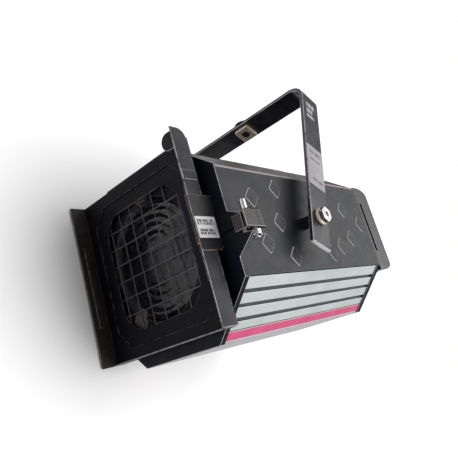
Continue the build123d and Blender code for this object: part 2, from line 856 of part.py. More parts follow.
def hanging_nut():
    """Flanged nut on the crossbar's outer face."""
    top = pivot_height + yoke_reach
    start, end = (hanger_offset, 0, top), (hanger_offset, 0, top + hanging_nut_height)
    nut = hex_rod(start, end, 17)
    nut += rod(start, (hanger_offset, 0, top + hanging_flange_height), hanging_flange_radius)
    return leaned(nut - rod(start, end, hanging_bolt_radius))


def square_nut():
    under = pivot_height + yoke_reach - strap_thickness
    half = square_nut_half
    nut = block(hanger_offset - half, hanger_offset + half, -half, half, under - 4.6, under)
    nut = chamfer(nut.edges().filter_by(Axis.Z), 1.2)
    hole = rod((hanger_offset, 0, under - 6), (hanger_offset, 0, under + 1), hanging_bolt_radius)
    return leaned(nut - hole)


def yoke_label():
    x = yoke_outer_half
    low, high = pivot_height + 35.5, pivot_height + 88
    return leaned(block(x, x + 0.25, -strap_width / 2 + 0.6, strap_width / 2 - 0.6, low, high))


def build_body():
    save("front_end_plate", front_end_plate())
    save("rear_end_plate", rear_end_plate())
    save("side_plate_right", side_plate())
    save("side_plate_left", mirror_x(side_plate()))
    save("top_cover", top_cover())
    save("vent_hood", vent_hood())
    save("fin_extrusion_right", fin_extrusion())
    save("fin_extrusion_left", mirror_x(fin_extrusion()))
    save("accent_stripes", *pair(stripe()))
    save("base_panel", base_panel())
    save("rear_cap", rear_cap())
    save("body_screws", *end_screws(), *cap_screws(), earth_stud())
    save("guide_rods", *guide_rods())
    save("rod_rest", rod_rest())
    save("bulkhead", bulkhead())
    save("heat_baffle", heat_baffle())
    save("terminal_block", terminal_block())
    save("cable_gland", cable_gland(), gland_locknut())
    save("pivot_stiffeners", *pivot_stiffeners())
    save("pivot_bushes", *pivot_bushes())
    save("pivot_bolts", *pivot_bolts())
    save("pivot_flange_washers", *pivot_flange_washers())
    save("pivot_nuts", *pivot_nuts())
    save("body_hinge_leaf", body_hinge_leaf())
    save("hinge_pin", hinge_pin())
    save("latch_bracket", latch_bracket())
    save("latch_pin", *latch_pin())
    save("latch_spring", latch_spring())


def build_door():
    save("front_frame", front_frame())
    save("runner_right", runner(89.6, True))
    save("runner_left", mirror_x(runner(frame_height / 2, False)))
    save("runner_dividers", *pair(runner_divider()))
    save("aperture_plate", aperture_plate())
    save("wire_guard", wire_guard())
    save("lens_plate", lens_plate())
    save("lens", lens())
    save("lens_ring", lens_ring())
    save("lens_clips", *lens_clips())
    save("door_hinge_leaf", door_hinge_leaf())
    save("latch_plate", latch_plate())
    save("latch_label", latch_label())
    save("runner_band", runner_band())
    save("catch_rivet", catch_rivet())


def build_moving_pieces():
    save("frame_catch", frame_catch())
    save("latch_lever", latch_lever())
    save("lamp_tray", lamp_tray(), carriage_nut())
    save("reflector", reflector())
    save("reflector_stay", reflector_stay())
    save("lampholder", lampholder())
    save("lamp_base", lamp_base())
    save("lamp_envelope", lamp_envelope())
    save("lamp_filament", *lamp_filament())
    save("lead_screw", lead_screw())
    save("focus_knob", focus_knob())
    save("yoke_strap", yoke_strap())
    save("friction_washers", *friction_washers())
    save("hanging_bolt", hanging_bolt())
    save("hanging_nut", hanging_nut())
    save("square_nut", square_nut())
    save("yoke_label", yoke_label())


os.makedirs("parts", exist_ok=True)
build_body()
build_door()
build_moving_pieces()
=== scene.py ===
import json
import math
import random
import bpy
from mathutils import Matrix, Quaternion, Vector

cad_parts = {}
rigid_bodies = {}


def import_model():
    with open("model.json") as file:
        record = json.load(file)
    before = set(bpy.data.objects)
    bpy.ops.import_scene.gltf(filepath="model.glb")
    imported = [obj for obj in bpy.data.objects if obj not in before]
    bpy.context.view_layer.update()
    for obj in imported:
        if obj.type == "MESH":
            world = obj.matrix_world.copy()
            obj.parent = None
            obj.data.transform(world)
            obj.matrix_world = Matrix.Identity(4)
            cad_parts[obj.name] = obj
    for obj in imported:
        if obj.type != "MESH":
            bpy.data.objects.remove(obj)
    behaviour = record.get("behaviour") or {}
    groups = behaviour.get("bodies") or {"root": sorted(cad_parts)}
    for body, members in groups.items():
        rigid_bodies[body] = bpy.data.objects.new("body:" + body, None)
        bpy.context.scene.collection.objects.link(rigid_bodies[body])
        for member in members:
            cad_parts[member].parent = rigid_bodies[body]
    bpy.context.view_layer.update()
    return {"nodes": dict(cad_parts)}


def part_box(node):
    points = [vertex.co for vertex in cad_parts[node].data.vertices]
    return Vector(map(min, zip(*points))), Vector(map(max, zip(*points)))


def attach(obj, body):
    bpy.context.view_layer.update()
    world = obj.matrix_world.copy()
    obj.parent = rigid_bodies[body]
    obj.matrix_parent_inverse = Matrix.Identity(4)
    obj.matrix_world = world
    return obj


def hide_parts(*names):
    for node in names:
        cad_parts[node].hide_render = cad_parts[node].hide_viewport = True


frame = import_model()
mm = 0.001
print("frame loaded:", len(frame["nodes"]), "nodes")

# the camera looks up at the underside, because the spotlight lies on its left side
cameraView = {
    "aim": (0.0196, -0.0242, 0.1157), "distance": 0.52, "azimuth": 38.02, "elevation": -14.39,
    "roll": 15.99, "lens": 38.92, "sensor": 36.0,
}


def addCamera(view):
    azimuth, elevation = math.radians(view["azimuth"]), math.radians(view["elevation"])
    back = Vector((math.sin(azimuth) * math.cos(elevation), -math.cos(azimuth) * math.cos(elevation),
                   math.sin(elevation)))
    bpy.ops.object.camera_add(location=Vector(view["aim"]) + back * view["distance"])
    camera = bpy.context.object
    camera.rotation_mode = "QUATERNION"
    roll = Quaternion((0, 0, 1), -math.radians(view["roll"]))
    camera.rotation_quaternion = (-back).to_track_quat("-Z", "Y") @ roll
    camera.data.lens = view["lens"]
    camera.data.sensor_width = view["sensor"]
    camera.data.clip_start = 0.01
    bpy.context.scene.camera = camera


addCamera(cameraView)


# node helpers
def put(tree, kind, settings=None, inputs=None):
    node = tree.nodes.new("ShaderNode" + kind)
    for key, value in (settings or {}).items():
        setattr(node, key, value)
    for key, value in (inputs or {}).items():
        if isinstance(value, bpy.types.NodeSocket):
            tree.links.new(value, node.inputs[key])
        else:
            node.inputs[key].default_value = value
    return node


def objectPlace(tree, stretch=(1, 1, 1), turn=(0, 0, 0)):
    place = put(tree, "TexCoord").outputs["Object"]
    return put(tree, "Mapping", inputs={"Vector": place, "Scale": stretch, "Rotation": turn}).outputs[0]


def clouds(tree, where, scale, detail=3.0, roughness=0.55):
    return put(tree, "TexNoise", inputs={"Vector": where, "Scale": scale, "Detail": detail,
                                         "Roughness": roughness}).outputs["Fac"]


def remap(tree, value, low, high, toLow=0.0, toHigh=1.0):
    inputs = {"Value": value, "From Min": low, "From Max": high, "To Min": toLow, "To Max": toHigh}
    return put(tree, "MapRange", {"interpolation_type": "SMOOTHSTEP"}, inputs).outputs[0]


def product(tree, first, second):
    return put(tree, "Math", {"operation": "MULTIPLY"}, {0: first, 1: second}).outputs[0]


def tint(tree, factor, first, second):
    node = put(tree, "Mix", {"data_type": "RGBA"})
    for index, value in ((0, factor), (6, first), (7, second)):
        if isinstance(value, bpy.types.NodeSocket):
            tree.links.new(value, node.inputs[index])
        else:
            node.inputs[index].default_value = value if index == 0 else (*value, 1.0)[:4]
    return node.outputs[2]


def bumped(tree, height, strength, distance):
    inputs = {"Height": height, "Strength": strength, "Distance": distance}
    return put(tree, "Bump", inputs=inputs).outputs[0]


def newMaterial(name, **fixed):
    material = bpy.data.materials.new(name)
    material.use_nodes = True
    shader = material.node_tree.nodes["Principled BSDF"]
    for key, value in fixed.items():
        shader.inputs[key.replace("_", " ")].default_value = value
    return material, material.node_tree, shader


def feed(tree, shader, **links):
    for key, socket in links.items():
        tree.links.new(socket, shader.inputs[key.replace("_", " ")])


# finishes
scratchGrey = (0.16, 0.155, 0.15)
wornGloss = (0.42, 0.42, 0.42)
bumpDepth = {"enamel": 0.00025, "metal": 0.0001, "plastic": 0.00012, "glass": 0.0002, "film": 0.0001}


def enamel(name, look, wear=None):
    # sprayed enamel on steel: mottled colour, patchy gloss, fine grain, scratches, bare metal where worn
    material, tree, shader = newMaterial(name, Specular_IOR_Level=look.get("gloss", 0.4), IOR=1.5)
    place = objectPlace(tree)
    cloud = clouds(tree, place, look.get("cloud", 22), 4)
    mottle = clouds(tree, place, look.get("mottle", 420), 5, 0.65)
    colour = tint(tree, remap(tree, cloud, 0.35, 0.65), look["base"], look["second"])
    colour = tint(tree, remap(tree, mottle, 0.48, 0.78, 0, look.get("fleck", 0.5)), colour, look["light"])
    rough = remap(tree, clouds(tree, place, 60, 6, 0.7), 0.3, 0.7, look["smooth"], look["matt"])
    scratch = clouds(tree, objectPlace(tree, (1, 0.06, 0.5), (0.5, 0.2, 0.9)), 900, 2)
    scratch = remap(tree, scratch, 0.735, 0.76, 0, look.get("scratch", 0.35))
    colour = tint(tree, scratch, colour, scratchGrey)
    if wear:
        grain = clouds(tree, place, wear.get("scale", 240), 7, 0.7)
        bare = remap(tree, grain, wear["from"], wear["from"] + wear["soft"])
        colour = tint(tree, bare, colour, wear["metal"])
        rough = tint(tree, bare, rough, wornGloss)
        feed(tree, shader, Metallic=product(tree, bare, wear["metallic"]))
    grain = bumped(tree, mottle, look.get("grain", 0.25), bumpDepth["enamel"])
    feed(tree, shader, Base_Color=colour, Roughness=rough, Normal=grain)
    return material


def metal(name, look):
    # plated or drawn metal: colour drift, tarnish in patches and fine lines along one direction
    material, tree, shader = newMaterial(name, Metallic=look.get("metallic", 1.0),
                                         Specular_IOR_Level=look.get("gloss", 0.5))
    place = objectPlace(tree)
    cloud = clouds(tree, place, look.get("cloud", 45), 5, 0.6)
    lines = clouds(tree, objectPlace(tree, look.get("lines", (1, 1, 1))), look.get("fine", 1400), 3, 0.6)
    colour = tint(tree, remap(tree, cloud, 0.35, 0.68), look["base"], look["second"])
    patches = clouds(tree, place, look.get("stainScale", 130), 7, 0.7)
    stain = remap(tree, patches, 0.56, 0.74, 0, look.get("stain", 0.4))
    colour = tint(tree, stain, colour, look["tarnish"])
    rough = remap(tree, lines, 0.3, 0.7, look["smooth"], look["matt"])
    feed(tree, shader, Base_Color=colour, Roughness=rough,
         Normal=bumped(tree, lines, look.get("grain", 0.15), bumpDepth["metal"]))
    return material


def plastic(name, look):
    # moulded or printed surface: slight colour drift, patchy gloss and a moulded texture
    material, tree, shader = newMaterial(name, Specular_IOR_Level=look.get("gloss", 0.45))
    place = objectPlace(tree)
    cloud = clouds(tree, place, look.get("cloud", 50), 5, 0.6)
    fine = clouds(tree, place, look.get("fine", 1600), 4, 0.6)
    colour = tint(tree, remap(tree, cloud, 0.35, 0.7), look["base"], look["second"])
    rough = remap(tree, fine, 0.3, 0.7, look["smooth"], look["matt"])
    feed(tree, shader, Base_Color=colour, Roughness=rough,
         Normal=bumped(tree, fine, look.get("grain", 0.2), bumpDepth["plastic"]))
    return material


def glass(name, look):
    # clear glass with faint striae and fingermarks in the roughness
    material, tree, shader = newMaterial(name, Transmission_Weight=look["clear"], IOR=look["ior"])
    place = objectPlace(tree)
    smear = clouds(tree, place, 55, 6, 0.65)
    colour = tint(tree, remap(tree, smear, 0.3, 0.7), look["base"], look["second"])
    rough = remap(tree, smear, 0.4, 0.75, look["smooth"], look["matt"])
    striae = clouds(tree, objectPlace(tree, (1, 1, 0.25)), 45, 1)
    wave = bumped(tree, striae, look["wave"], bumpDepth["glass"])
    feed(tree, shader, Base_Color=colour, Roughness=rough, Normal=wave)
    return material


enamelLooks = {
    "body": {"base": (0.0150, 0.0145, 0.0165), "second": (0.0115, 0.0132, 0.0190),
             "light": (0.030, 0.030, 0.034), "smooth": 0.36, "matt": 0.5, "gloss": 0.26, "fleck": 0.4,
             "grain": 0.22},
    # slope: the body's enamel made lighter and browner for the sloped faces of the same sheet; painted light, set
    # by which way the faces point
    "slope": {"base": (0.024, 0.0195, 0.018), "second": (0.017, 0.0165, 0.018),
              "light": (0.044, 0.038, 0.036), "smooth": 0.4, "matt": 0.56, "gloss": 0.25, "fleck": 0.45},
    "plate": {"base": (0.0032, 0.0037, 0.0078), "second": (0.0028, 0.0034, 0.0086),
              "light": (0.012, 0.012, 0.016), "smooth": 0.42, "matt": 0.6, "gloss": 0.14, "fleck": 0.3},
    # door: near-black navy paint, made darker and less glossy than the body to stand in for the dim light on the
    # front; partly painted shade
    "door": {"base": (0.0022, 0.0026, 0.0062), "second": (0.0038, 0.0036, 0.0050),
             "light": (0.010, 0.010, 0.012), "smooth": 0.42, "matt": 0.62, "gloss": 0.09, "fleck": 0.3},
    "runner": {"base": (0.0165, 0.0142, 0.0126), "second": (0.024, 0.021, 0.0186),
               "light": (0.055, 0.05, 0.045), "smooth": 0.44, "matt": 0.62, "gloss": 0.2, "fleck": 0.5,
               "mottle": 260},
    "strip": {"base": (0.0165, 0.017, 0.0205), "second": (0.023, 0.0225, 0.026),
              "light": (0.048, 0.048, 0.053), "smooth": 0.42, "matt": 0.58, "gloss": 0.25, "fleck": 0.5,
              "mottle": 300},
    "latch": {"base": (0.0115, 0.0115, 0.0135), "second": (0.015, 0.0145, 0.0165),
              "light": (0.032, 0.031, 0.034), "smooth": 0.36, "matt": 0.52, "gloss": 0.25, "fleck": 0.5,
              "mottle": 300},
    "yoke": {"base": (0.0080, 0.0085, 0.0115), "second": (0.0130, 0.0135, 0.0180),
             "light": (0.036, 0.038, 0.047), "smooth": 0.18, "matt": 0.4, "gloss": 0.34, "cloud": 36,
             "mottle": 60, "fleck": 0.4, "grain": 0.04},
    "cap": {"base": (0.0115, 0.012, 0.015), "second": (0.017, 0.0175, 0.022),
            "light": (0.034, 0.035, 0.041), "smooth": 0.24, "matt": 0.4, "gloss": 0.45, "fleck": 0.3,
            "grain": 0.16},
}
wearLooks = {
    "body": {"from": 0.34, "soft": 0.3, "metal": (0.17, 0.165, 0.168), "metallic": 0.3},
    "slope": {"from": 0.34, "soft": 0.3, "metal": (0.20, 0.175, 0.17), "metallic": 0.3},
    "plate": {"from": 0.22, "soft": 0.3, "metal": (0.42, 0.42, 0.45), "metallic": 0.2, "scale": 130},
    "door": {"from": 0.40, "soft": 0.25, "metal": (0.15, 0.15, 0.155), "metallic": 0.2, "scale": 160},
    "runner": {"from": 0.36, "soft": 0.25, "metal": (0.30, 0.28, 0.26), "metallic": 0.2, "scale": 160},
    # strip: the pale metal on the runner strip's edges is partly wear and partly painted highlight
    "strip": {"from": 0.28, "soft": 0.25, "metal": (0.46, 0.45, 0.46), "metallic": 0.2, "scale": 160},
    "latch": {"from": 0.3, "soft": 0.25, "metal": (0.44, 0.34, 0.31), "metallic": 0.2, "scale": 160},
    "yoke": {"from": 0.26, "soft": 0.28, "metal": (0.40, 0.40, 0.42), "metallic": 0.2, "scale": 90},
    "cap": {"from": 0.5, "soft": 0.25, "metal": (0.09, 0.09, 0.10), "metallic": 0.3},
}
paints = {key: enamel(key + "Enamel", look) for key, look in enamelLooks.items()}
worn = {key: enamel(key + "EnamelWorn", enamelLooks[key], wear) for key, wear in wearLooks.items()}
# the diamonds' borders: mostly pale bare metal, partly wear and partly painted highlight on every side
embossed = enamel("embossedEdge", enamelLooks["body"],
                  {"from": 0.12, "soft": 0.3, "metal": (0.44, 0.44, 0.45), "metallic": 0.0, "scale": 150})
# the fold between the side and the slope: a pale pinkish line, partly worn paint and partly painted highlight
foldEdge = enamel("foldEdge", enamelLooks["slope"],
                  {"from": 0.2, "soft": 0.3, "metal": (0.34, 0.29, 0.29), "metallic": 0.0, "scale": 90})

metalLooks = {
    "fin": {"base": (0.50, 0.56, 0.545), "second": (0.60, 0.63, 0.64), "tarnish": (0.36, 0.42, 0.40),
            "metallic": 0.35, "smooth": 0.38, "matt": 0.55, "lines": (1, 0.03, 1), "stain": 0.25,
            "cloud": 14},
    "groove": {"base": (0.055, 0.075, 0.076), "second": (0.085, 0.11, 0.11),
               "tarnish": (0.03, 0.036, 0.036), "metallic": 0.3, "smooth": 0.4, "matt": 0.6,
               "lines": (1, 0.03, 1), "stain": 0.5, "cloud": 30},
    "base": {"base": (0.27, 0.27, 0.285), "second": (0.34, 0.34, 0.355), "tarnish": (0.20, 0.20, 0.20),
             "metallic": 0.25, "smooth": 0.4, "matt": 0.6, "stain": 0.3},
    "zinc": {"base": (0.52, 0.53, 0.54), "second": (0.62, 0.62, 0.60), "tarnish": (0.34, 0.32, 0.29),
             "smooth": 0.28, "matt": 0.48},
    "nickel": {"base": (0.50, 0.49, 0.49), "second": (0.62, 0.60, 0.59), "tarnish": (0.24, 0.22, 0.20),
               "smooth": 0.12, "matt": 0.3, "stain": 0.45},
    "bronzed": {"base": (0.0075, 0.0075, 0.009), "second": (0.020, 0.0165, 0.0155),
                "tarnish": (0.042, 0.033, 0.028), "metallic": 0.2, "smooth": 0.16, "matt": 0.34,
                "stain": 0.35, "gloss": 0.35},
    "bronzedEdge": {"base": (0.33, 0.32, 0.31), "second": (0.24, 0.22, 0.21), "tarnish": (0.12, 0.10, 0.09),
                    "metallic": 0.6, "smooth": 0.3, "matt": 0.45, "stain": 0.35},
    "noseBrown": {"base": (0.033, 0.018, 0.017), "second": (0.023, 0.0145, 0.0145),
                  "tarnish": (0.055, 0.026, 0.022), "metallic": 0.3, "smooth": 0.4, "matt": 0.6,
                  "stain": 0.5, "cloud": 120},
    "clip": {"base": (0.055, 0.045, 0.038), "second": (0.085, 0.07, 0.06), "tarnish": (0.03, 0.024, 0.02),
             "metallic": 0.5, "smooth": 0.35, "matt": 0.5},
    "bareSteel": {"base": (0.55, 0.54, 0.54), "second": (0.42, 0.40, 0.40), "tarnish": (0.20, 0.18, 0.17),
                  "metallic": 0.5, "smooth": 0.35, "matt": 0.5, "stain": 0.5},
    "passivated": {"base": (0.66, 0.56, 0.47), "second": (0.72, 0.58, 0.44), "tarnish": (0.52, 0.36, 0.22),
                   "metallic": 0.75, "smooth": 0.28, "matt": 0.46, "stain": 0.5, "stainScale": 260},
    "wire": {"base": (0.075, 0.075, 0.083), "second": (0.11, 0.105, 0.105), "tarnish": (0.045, 0.04, 0.036),
             "metallic": 0.5, "smooth": 0.4, "matt": 0.55, "stain": 0.6},
    "mirror": {"base": (0.88, 0.88, 0.89), "second": (0.82, 0.82, 0.84), "tarnish": (0.7, 0.66, 0.6),
               "smooth": 0.05, "matt": 0.14, "stain": 0.2, "grain": 0.05},
    "tungsten": {"base": (0.30, 0.29, 0.28), "second": (0.38, 0.36, 0.34), "tarnish": (0.2, 0.19, 0.2),
                 "smooth": 0.4, "matt": 0.6},
}
metals = {key: metal(key + "Metal", look) for key, look in metalLooks.items()}

plasticLooks = {
    "knob": {"base": (0.016, 0.016, 0.018), "second": (0.024, 0.024, 0.026), "smooth": 0.4, "matt": 0.6},
    "ceramic": {"base": (0.76, 0.72, 0.64), "second": (0.82, 0.79, 0.73), "smooth": 0.15, "matt": 0.35,
                "grain": 0.1},
    "paper": {"base": (0.66, 0.66, 0.68), "second": (0.58, 0.57, 0.58), "smooth": 0.5, "matt": 0.7,
              "grain": 0.3},
    "lilacPaper": {"base": (0.33, 0.315, 0.335), "second": (0.27, 0.26, 0.28), "smooth": 0.45,
                   "matt": 0.65},
    "ink": {"base": (0.035, 0.035, 0.04), "second": (0.06, 0.06, 0.065), "smooth": 0.5, "matt": 0.7},
    "greyInk": {"base": (0.085, 0.085, 0.10), "second": (0.14, 0.135, 0.16), "smooth": 0.5, "matt": 0.7},
}
plastics = {key: plastic(key + "Surface", look) for key, look in plasticLooks.items()}

glassLooks = {
    "lens": {"base": (0.085, 0.080, 0.085), "second": (0.050, 0.052, 0.085), "clear": 0.9, "ior": 1.42,
             "smooth": 0.16, "matt": 0.32, "wave": 0.0},
    "lamp": {"base": (0.93, 0.94, 0.95), "second": (0.88, 0.88, 0.88), "clear": 1.0, "ior": 1.45,
             "smooth": 0.02, "matt": 0.08, "wave": 0.03},
}
glasses = {key: glass(key + "Glass", look) for key, look in glassLooks.items()}


def stripeFilm(look):
    # coloured adhesive film with scuffs along its length
    material, tree, shader = newMaterial("stripeFilm", Specular_IOR_Level=0.35)
    place = objectPlace(tree)
    colour = tint(tree, remap(tree, clouds(tree, place, 40, 5), 0.35, 0.7), look["base"], look["second"])
    scuff = remap(tree, clouds(tree, objectPlace(tree, (1, 0.15, 1)), 320, 6, 0.7), 0.62, 0.72, 0, 0.5)
    colour = tint(tree, scuff, colour, look["scuff"])
    fine = clouds(tree, place, 1500, 3)
    feed(tree, shader, Base_Color=colour, Roughness=remap(tree, fine, 0.3, 0.7, 0.35, 0.5),
         Normal=bumped(tree, fine, 0.15, bumpDepth["film"]))
    return material


stripeLook = {"base": (0.56, 0.062, 0.165), "second": (0.63, 0.10, 0.22), "scuff": (0.66, 0.25, 0.34),
              "edge": 0.05}
magentaFilm = stripeFilm(stripeLook)
print("finishes made")


# modelling helpers
weldLook = {"distance": 0.01, "turnedDistance": 0.001, "flatAngle": 0.6}
facing = 0.9  # least part of a normal that counts as facing a side


def clearSelection():
    if bpy.context.object and bpy.context.object.mode != "OBJECT":
        bpy.ops.object.mode_set(mode="OBJECT")
    bpy.ops.object.select_all(action="DESELECT")


def pick(piece):
    clearSelection()
    piece.select_set(True)
    bpy.context.view_layer.objects.active = piece


def startEdit(piece, kind="VERT"):
    pick(piece)
    bpy.ops.object.mode_set(mode="EDIT")
    bpy.ops.mesh.select_mode(type=kind)
    bpy.ops.mesh.select_all(action="DESELECT")


def endEdit():
    bpy.ops.object.mode_set(mode="OBJECT")


def chooseEdges(piece, test):
    # selects edges by their two ends, then opens edit mode
    startEdit(piece, "EDGE")
    endEdit()
    points = piece.data.vertices
    for edge in piece.data.edges:
        edge.select = bool(test(points[edge.vertices[0]].co, points[edge.vertices[1]].co))
    bpy.ops.object.mode_set(mode="EDIT")


def applyModifiers(piece):
    pick(piece)
    for modifier in list(piece.modifiers):
        bpy.ops.object.modifier_apply(modifier=modifier.name)


def fromFrame(name, node):
    # own copy of a frame node's mesh, merged, with flat faces made whole again
    piece = bpy.data.objects.new(name, frame["nodes"][node].data.copy())
    bpy.context.scene.collection.objects.link(piece)
    startEdit(piece)
    bpy.ops.mesh.select_all(action="SELECT")
    bpy.ops.mesh.remove_doubles(threshold=weldLook["distance"] * mm)
    bpy.ops.mesh.dissolve_limited(angle_limit=math.radians(weldLook["flatAngle"]))
    bpy.ops.mesh.customdata_custom_splitnormals_clear()
    endEdit()
    return piece


def finishedName(node):
    return node.replace("_", "") + "Finished"


def finish(piece, finishes, width, segments=2, angle=30):
    # bevels the sharp edges by a width in mm, in the second finish if there is one; flat faces stay flat
    piece.data.materials.clear()
    for material in finishes:
        piece.data.materials.append(material)
    pick(piece)
    bpy.ops.object.shade_smooth()
    if width:
        bevel = piece.modifiers.new("edges", "BEVEL")
        bevel.limit_method = "ANGLE"
        bevel.angle_limit = math.radians(angle)
        bevel.width = width * mm
        bevel.segments = segments
        bevel.use_clamp_overlap = False
        bevel.material = 1 if len(finishes) > 1 else -1
    flat = piece.modifiers.new("flat", "WEIGHTED_NORMAL")
    flat.keep_sharp = False
    applyModifiers(piece)
    return piece


def settle(piece, body, slotName, *nodes):
    # fixes the mesh in place, on its body, in place of its frame nodes
    pick(piece)
    bpy.ops.object.transform_apply(location=True, rotation=True, scale=True)
    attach(piece, body)
    if nodes:
        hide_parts(*nodes)
    return piece


def turned(name, centre, axis, profile, sides):
    # a disc extruded from station to station; profile holds (distance along the axis, radius) in mm
    clearSelection()
    bpy.ops.mesh.primitive_circle_add(vertices=sides, radius=profile[0][1] * mm, location=(0, 0, 0))
    piece = bpy.context.object
    piece.name = name
    bpy.ops.object.mode_set(mode="EDIT")
    bpy.ops.mesh.select_all(action="SELECT")
    bpy.ops.mesh.edge_face_add()
    bpy.ops.mesh.select_all(action="SELECT")
    height, radius = profile[0]
    start = height
    for nextHeight, nextRadius in profile[1:]:
        climb = (0, 0, (nextHeight - height) * mm)
        bpy.ops.mesh.extrude_region_move(TRANSFORM_OT_translate={"value": climb})
        if nextRadius != radius:
            share = nextRadius / radius
            station = (0, 0, (nextHeight - start) * mm)
            bpy.ops.transform.resize(value=(share, share, 1), center_override=station)
        height, radius = nextHeight, nextRadius
    bpy.ops.mesh.select_all(action="SELECT")
    bpy.ops.mesh.remove_doubles(threshold=weldLook["turnedDistance"] * mm)
    bpy.ops.mesh.normals_make_consistent(inside=False)
    endEdit()
    piece.rotation_mode = "QUATERNION"
    direction = Vector(axis).normalized()
    piece.rotation_quaternion = direction.to_track_quat("Z", "Y")
    piece.location = Vector(centre) + direction * start * mm
    bpy.ops.object.transform_apply(location=True, rotation=True, scale=True)
    return piece


def joined(name, pieces):
    clearSelection()
    for piece in pieces:
        piece.select_set(True)
    bpy.context.view_layer.objects.active = pieces[0]
    if len(pieces) > 1:
        bpy.ops.object.join()
    pieces[0].name = name
    return pieces[0]


def middle(node):
    low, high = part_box(node)
    return (low + high) / 2


def finishNodes(pieces, finishesOf):
    for node, (body, slotName, key, width) in pieces.items():
        settle(finish(fromFrame(finishedName(node), node), finishesOf(key), width), body, slotName, node)


# floor, lamps and room
stageLook = {"size": 8.0, "gap": 0.0015, "tone": (0.9, 0.9, 0.9)}


def addStage(look):
    # the pale table that the left runner and the left pivot bolt rest on; only its upper face shows
    bolt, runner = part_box("pivot_bolts")[0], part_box("runner_left")[0]
    touchBolt, touchRunner = Vector((bolt.x, 0, 0)), Vector((runner.x, runner.y, 0))
    along = (touchBolt - touchRunner).normalized()
    normal = Vector((along.y, -along.x, 0))
    clearSelection()
    bpy.ops.mesh.primitive_plane_add(size=look["size"], location=touchRunner - normal * look["gap"],
                                     rotation=normal.to_track_quat("Z", "Y").to_euler())
    table = bpy.context.object
    table.name = "paleTable"
    material, tree, shader = newMaterial("paleTable", Roughness=0.9, Specular_IOR_Level=0.1)
    shader.inputs["Base Color"].default_value = (*look["tone"], 1)
    seeThrough = put(tree, "BsdfTransparent").outputs[0]
    behind = put(tree, "NewGeometry").outputs["Backfacing"]
    blend = put(tree, "MixShader", inputs={0: behind, 1: shader.outputs[0], 2: seeThrough})
    tree.links.new(blend.outputs[0], tree.nodes["Material Output"].inputs["Surface"])
    table.data.materials.append(material)
    return normal


lampLook = {"lean": (0.0, 0.30, -0.12), "height": 2.0, "spread": 75.0, "strength": 3.1}
roomLook = {"seen": 1.0, "light": 0.40}


def addOverheadLamp(normal, look):
    # one very wide, even lamp above the table, so its shadow is soft
    direction = (normal + Vector(look["lean"])).normalized()
    clearSelection()
    aim = direction.to_track_quat("Z", "Y").to_euler()
    bpy.ops.object.light_add(type="SUN", location=direction * look["height"], rotation=aim)
    lamp = bpy.context.object
    lamp.name = "overheadLamp"
    lamp.data.energy = look["strength"]
    lamp.data.angle = math.radians(look["spread"])


def addRoom(look):
    world = bpy.data.worlds.new("paleRoom")
    bpy.context.scene.world = world
    world.use_nodes = True
    tree = world.node_tree
    background = tree.nodes["Background"]
    background.inputs["Color"].default_value = (1, 1, 1, 1)
    seen = put(tree, "LightPath").outputs["Is Camera Ray"]
    tree.links.new(remap(tree, seen, 0, 1, look["light"], look["seen"]), background.inputs["Strength"])


addOverheadLamp(addStage(stageLook), lampLook)
addRoom(roomLook)
bpy.context.scene.view_settings.view_transform = "Standard"
print("table, lamp and room ready")

# pieces that keep the frame's shape: body, slot, finish, bevel in mm
sheetPieces = {
    "front_end_plate": ("housing", "black_paint", "plate", 0.35),
    "rear_end_plate": ("housing", "black_paint", "plate", 0.3),
    "top_cover": ("housing", "black_paint", "body", 0.25),
    "vent_hood": ("housing", "black_paint", "body", 0.25),
    "bulkhead": ("housing", "black_paint", "plate", 0.2),
    "pivot_stiffeners": ("housing", "black_paint", "plate", 0.5),
    "rear_cap": ("housing", "cap_paint", "cap", 0.5),
    "front_frame": ("lens_door", "black_paint", "door", 0.3),
    "runner_right": ("lens_door", "black_paint", "strip", 0.35),
    "runner_left": ("lens_door", "black_paint", "runner", 0.3),
    "runner_dividers": ("lens_door", "black_paint", "runner", 0.25),
    "aperture_plate": ("lens_door", "black_paint", "door", 0.3),
    "lens_plate": ("lens_door", "black_paint", "door", 0.2),
    "latch_plate": ("lens_door", "black_paint", "latch", 0.3),
    "runner_band": ("lens_door", "black_paint", "strip", 0.3),
    "frame_catch": ("frame_catch", "black_paint", "plate", 0.3),
    "yoke_strap": ("yoke", "black_paint", "yoke", 0.6),
}
finishNodes(sheetPieces, lambda key: (paints[key], worn[key]))

placeLook = {"sawnFacing": 0.8, "lipHeight": 1.4, "tabReach": 1.4}
yokeLean = Quaternion((1, 0, 0), -math.radians(24.6))  # the yoke leans back from upright


def coatPlace(node, material, test):
    # gives the faces that pass the test a third finish
    piece = bpy.data.objects[finishedName(node)]
    piece.data.materials.append(material)
    for face in piece.data.polygons:
        if test(face):
            face.material_index = 2


# bare steel on the strap's sawn lower ends; a bright lower lip on the door in the strip's worn finish, partly
# rubbed paint and partly painted highlight; and the tab beyond the right runner in the darker door enamel, which
# holds painted shade
boltLow, doorLow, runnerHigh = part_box("pivot_bolts")[0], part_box("front_frame")[0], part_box("runner_right")[1]
sawnNormal = yokeLean @ Vector((0, 0, -1))
coatPlace("yoke_strap", metals["bareSteel"], lambda face: (
    face.normal.dot(sawnNormal) > placeLook["sawnFacing"] and face.center.z < boltLow.z))
coatPlace("front_frame", worn["strip"], lambda face: (
    face.material_index == 1 and face.center.z < doorLow.z + placeLook["lipHeight"] * mm))
coatPlace("latch_plate", paints["door"], lambda face: (
    face.center.x > runnerHigh.x + placeLook["tabReach"] * mm))
print("sheet pieces finished")

